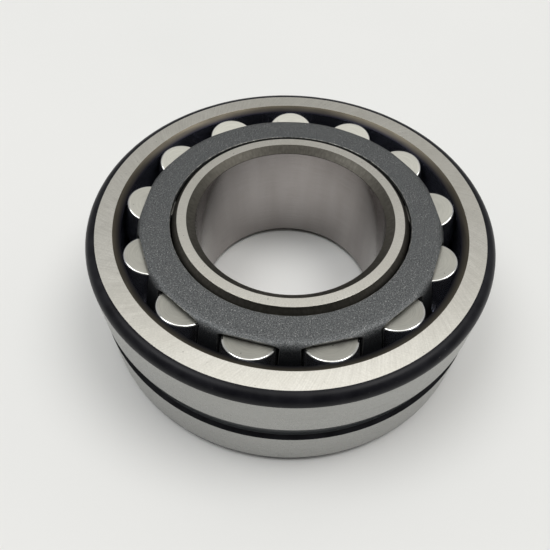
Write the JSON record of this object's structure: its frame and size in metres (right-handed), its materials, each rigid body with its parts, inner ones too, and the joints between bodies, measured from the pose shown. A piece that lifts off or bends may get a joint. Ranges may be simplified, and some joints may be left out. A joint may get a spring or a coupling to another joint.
{
  "type": "spherical roller bearing",
  "caption": "Self-aligning spherical roller bearing with a bored inner ring, barrel rollers in pressed cages and a grooved outer ring.",
  "frame": {"origin": "centre of the bearing: on the bore's axis, midway between the side faces; also the centre of the spherical raceway", "axes": "+Z along the bore's axis; +Y passes through the middle of an upper-row roller and through one lubrication hole"},
  "size_m": [0.19, 0.19, 0.064],
  "materials": {
    "ring_steel": "ground faces, black-oxide corners and polished raceways",
    "roller_steel": "ground and polished barrel with turned end faces",
    "cage_steel": "dark grey phosphated pressed steel",
    "guide_steel": "dark grey sintered iron"
  },
  "bodies": {
    "outer_ring": {"outer_ring": "ring_steel"},
    "inner_ring": {"inner_ring": "ring_steel"},
    "guide_ring": {"guide_ring": "guide_steel"},
    "cage_upper": {"cage_upper": "cage_steel"},
    "cage_lower": {"cage_lower": "cage_steel"},
    "roller_upper_01": {"roller_upper_01": "roller_steel"},
    "roller_upper_02": {"roller_upper_02": "roller_steel"},
    "roller_upper_03": {"roller_upper_03": "roller_steel"},
    "roller_upper_04": {"roller_upper_04": "roller_steel"},
    "roller_upper_05": {"roller_upper_05": "roller_steel"},
    "roller_upper_06": {"roller_upper_06": "roller_steel"},
    "roller_upper_07": {"roller_upper_07": "roller_steel"},
    "roller_upper_08": {"roller_upper_08": "roller_steel"},
    "roller_upper_09": {"roller_upper_09": "roller_steel"},
    "roller_upper_10": {"roller_upper_10": "roller_steel"},
    "roller_upper_11": {"roller_upper_11": "roller_steel"},
    "roller_upper_12": {"roller_upper_12": "roller_steel"},
    "roller_upper_13": {"roller_upper_13": "roller_steel"},
    "roller_lower_01": {"roller_lower_01": "roller_steel"},
    "roller_lower_02": {"roller_lower_02": "roller_steel"},
    "roller_lower_03": {"roller_lower_03": "roller_steel"},
    "roller_lower_04": {"roller_lower_04": "roller_steel"},
    "roller_lower_05": {"roller_lower_05": "roller_steel"},
    "roller_lower_06": {"roller_lower_06": "roller_steel"},
    "roller_lower_07": {"roller_lower_07": "roller_steel"},
    "roller_lower_08": {"roller_lower_08": "roller_steel"},
    "roller_lower_09": {"roller_lower_09": "roller_steel"},
    "roller_lower_10": {"roller_lower_10": "roller_steel"},
    "roller_lower_11": {"roller_lower_11": "roller_steel"},
    "roller_lower_12": {"roller_lower_12": "roller_steel"},
    "roller_lower_13": {"roller_lower_13": "roller_steel"}
  },
  "joints": [
    {"name": "alignment_tilt", "type": "hinge", "parent": "outer_ring", "child": "guide_ring", "pos_m": [0, 0, 0], "axis": [1, 0, 0], "range_deg": [-3, 3]},
    {"name": "inner_ring_spin", "type": "hinge", "parent": "guide_ring", "child": "inner_ring", "pos_m": [0, 0, 0], "axis": [0, 0, 1], "continuous": true},
    {"name": "cage_upper_spin", "type": "hinge", "parent": "guide_ring", "child": "cage_upper", "pos_m": [0, 0, 0], "axis": [0, 0, 1], "continuous": true},
    {"name": "cage_lower_spin", "type": "hinge", "parent": "guide_ring", "child": "cage_lower", "pos_m": [0, 0, 0], "axis": [0, 0, 1], "continuous": true},
    {"name": "roller_upper_01_spin", "type": "hinge", "parent": "cage_upper", "child": "roller_upper_01", "pos_m": [0, 0.06996, 0.01615], "axis": [0, -0.225, 0.9744], "continuous": true},
    {"name": "roller_upper_02_spin", "type": "hinge", "parent": "cage_upper", "child": "roller_upper_02", "pos_m": [-0.03251, 0.06195, 0.01615], "axis": [0.1045, -0.1992, 0.9744], "continuous": true},
    {"name": "roller_upper_03_spin", "type": "hinge", "parent": "cage_upper", "child": "roller_upper_03", "pos_m": [-0.05758, 0.03974, 0.01615], "axis": [0.1851, -0.1278, 0.9744], "continuous": true},
    {"name": "roller_upper_04_spin", "type": "hinge", "parent": "cage_upper", "child": "roller_upper_04", "pos_m": [-0.06945, 0.00843, 0.01615], "axis": [0.2233, -0.0271, 0.9744], "continuous": true},
    {"name": "roller_upper_05_spin", "type": "hinge", "parent": "cage_upper", "child": "roller_upper_05", "pos_m": [-0.06541, -0.02481, 0.01615], "axis": [0.2103, 0.0798, 0.9744], "continuous": true},
    {"name": "roller_upper_06_spin", "type": "hinge", "parent": "cage_upper", "child": "roller_upper_06", "pos_m": [-0.04639, -0.05237, 0.01615], "axis": [0.1492, 0.1684, 0.9744], "continuous": true},
    {"name": "roller_upper_07_spin", "type": "hinge", "parent": "cage_upper", "child": "roller_upper_07", "pos_m": [-0.01674, -0.06793, 0.01615], "axis": [0.0538, 0.2184, 0.9744], "continuous": true},
    {"name": "roller_upper_08_spin", "type": "hinge", "parent": "cage_upper", "child": "roller_upper_08", "pos_m": [0.01674, -0.06793, 0.01615], "axis": [-0.0538, 0.2184, 0.9744], "continuous": true},
    {"name": "roller_upper_09_spin", "type": "hinge", "parent": "cage_upper", "child": "roller_upper_09", "pos_m": [0.04639, -0.05237, 0.01615], "axis": [-0.1492, 0.1684, 0.9744], "continuous": true},
    {"name": "roller_upper_10_spin", "type": "hinge", "parent": "cage_upper", "child": "roller_upper_10", "pos_m": [0.06541, -0.02481, 0.01615], "axis": [-0.2103, 0.0798, 0.9744], "continuous": true},
    {"name": "roller_upper_11_spin", "type": "hinge", "parent": "cage_upper", "child": "roller_upper_11", "pos_m": [0.06945, 0.00843, 0.01615], "axis": [-0.2233, -0.0271, 0.9744], "continuous": true},
    {"name": "roller_upper_12_spin", "type": "hinge", "parent": "cage_upper", "child": "roller_upper_12", "pos_m": [0.05758, 0.03974, 0.01615], "axis": [-0.1851, -0.1278, 0.9744], "continuous": true},
    {"name": "roller_upper_13_spin", "type": "hinge", "parent": "cage_upper", "child": "roller_upper_13", "pos_m": [0.03251, 0.06195, 0.01615], "axis": [-0.1045, -0.1992, 0.9744], "continuous": true},
    {"name": "roller_lower_01_spin", "type": "hinge", "parent": "cage_lower", "child": "roller_lower_01", "pos_m": [-0.01674, 0.06793, -0.01615], "axis": [-0.0538, 0.2184, 0.9744], "continuous": true},
    {"name": "roller_lower_02_spin", "type": "hinge", "parent": "cage_lower", "child": "roller_lower_02", "pos_m": [-0.04639, 0.05237, -0.01615], "axis": [-0.1492, 0.1684, 0.9744], "continuous": true},
    {"name": "roller_lower_03_spin", "type": "hinge", "parent": "cage_lower", "child": "roller_lower_03", "pos_m": [-0.06541, 0.02481, -0.01615], "axis": [-0.2103, 0.0798, 0.9744], "continuous": true},
    {"name": "roller_lower_04_spin", "type": "hinge", "parent": "cage_lower", "child": "roller_lower_04", "pos_m": [-0.06945, -0.00843, -0.01615], "axis": [-0.2233, -0.0271, 0.9744], "continuous": true},
    {"name": "roller_lower_05_spin", "type": "hinge", "parent": "cage_lower", "child": "roller_lower_05", "pos_m": [-0.05758, -0.03974, -0.01615], "axis": [-0.1851, -0.1278, 0.9744], "continuous": true},
    {"name": "roller_lower_06_spin", "type": "hinge", "parent": "cage_lower", "child": "roller_lower_06", "pos_m": [-0.03251, -0.06195, -0.01615], "axis": [-0.1045, -0.1992, 0.9744], "continuous": true},
    {"name": "roller_lower_07_spin", "type": "hinge", "parent": "cage_lower", "child": "roller_lower_07", "pos_m": [0, -0.06996, -0.01615], "axis": [0, -0.225, 0.9744], "continuous": true},
    {"name": "roller_lower_08_spin", "type": "hinge", "parent": "cage_lower", "child": "roller_lower_08", "pos_m": [0.03251, -0.06195, -0.01615], "axis": [0.1045, -0.1992, 0.9744], "continuous": true},
    {"name": "roller_lower_09_spin", "type": "hinge", "parent": "cage_lower", "child": "roller_lower_09", "pos_m": [0.05758, -0.03974, -0.01615], "axis": [0.1851, -0.1278, 0.9744], "continuous": true},
    {"name": "roller_lower_10_spin", "type": "hinge", "parent": "cage_lower", "child": "roller_lower_10", "pos_m": [0.06945, -0.00843, -0.01615], "axis": [0.2233, -0.0271, 0.9744], "continuous": true},
    {"name": "roller_lower_11_spin", "type": "hinge", "parent": "cage_lower", "child": "roller_lower_11", "pos_m": [0.06541, 0.02481, -0.01615], "axis": [0.2103, 0.0798, 0.9744], "continuous": true},
    {"name": "roller_lower_12_spin", "type": "hinge", "parent": "cage_lower", "child": "roller_lower_12", "pos_m": [0.04639, 0.05237, -0.01615], "axis": [0.1492, 0.1684, 0.9744], "continuous": true},
    {"name": "roller_lower_13_spin", "type": "hinge", "parent": "cage_lower", "child": "roller_lower_13", "pos_m": [0.01674, 0.06793, -0.01615], "axis": [0.0538, 0.2184, 0.9744], "continuous": true}
  ],
  "couplings": [
    {"joint": "cage_upper_spin", "follows": "inner_ring_spin", "ratio": 0.4126},
    {"joint": "cage_lower_spin", "follows": "inner_ring_spin", "ratio": 0.4126},
    {"joint": "roller_upper_01_spin", "follows": "inner_ring_spin", "ratio": -2.7021},
    {"joint": "roller_upper_02_spin", "follows": "inner_ring_spin", "ratio": -2.7021},
    {"joint": "roller_upper_03_spin", "follows": "inner_ring_spin", "ratio": -2.7021},
    {"joint": "roller_upper_04_spin", "follows": "inner_ring_spin", "ratio": -2.7021},
    {"joint": "roller_upper_05_spin", "follows": "inner_ring_spin", "ratio": -2.7021},
    {"joint": "roller_upper_06_spin", "follows": "inner_ring_spin", "ratio": -2.7021},
    {"joint": "roller_upper_07_spin", "follows": "inner_ring_spin", "ratio": -2.7021},
    {"joint": "roller_upper_08_spin", "follows": "inner_ring_spin", "ratio": -2.7021},
    {"joint": "roller_upper_09_spin", "follows": "inner_ring_spin", "ratio": -2.7021},
    {"joint": "roller_upper_10_spin", "follows": "inner_ring_spin", "ratio": -2.7021},
    {"joint": "roller_upper_11_spin", "follows": "inner_ring_spin", "ratio": -2.7021},
    {"joint": "roller_upper_12_spin", "follows": "inner_ring_spin", "ratio": -2.7021},
    {"joint": "roller_upper_13_spin", "follows": "inner_ring_spin", "ratio": -2.7021},
    {"joint": "roller_lower_01_spin", "follows": "inner_ring_spin", "ratio": -2.7021},
    {"joint": "roller_lower_02_spin", "follows": "inner_ring_spin", "ratio": -2.7021},
    {"joint": "roller_lower_03_spin", "follows": "inner_ring_spin", "ratio": -2.7021},
    {"joint": "roller_lower_04_spin", "follows": "inner_ring_spin", "ratio": -2.7021},
    {"joint": "roller_lower_05_spin", "follows": "inner_ring_spin", "ratio": -2.7021},
    {"joint": "roller_lower_06_spin", "follows": "inner_ring_spin", "ratio": -2.7021},
    {"joint": "roller_lower_07_spin", "follows": "inner_ring_spin", "ratio": -2.7021},
    {"joint": "roller_lower_08_spin", "follows": "inner_ring_spin", "ratio": -2.7021},
    {"joint": "roller_lower_09_spin", "follows": "inner_ring_spin", "ratio": -2.7021},
    {"joint": "roller_lower_10_spin", "follows": "inner_ring_spin", "ratio": -2.7021},
    {"joint": "roller_lower_11_spin", "follows": "inner_ring_spin", "ratio": -2.7021},
    {"joint": "roller_lower_12_spin", "follows": "inner_ring_spin", "ratio": -2.7021},
    {"joint": "roller_lower_13_spin", "follows": "inner_ring_spin", "ratio": -2.7021}
  ]
}
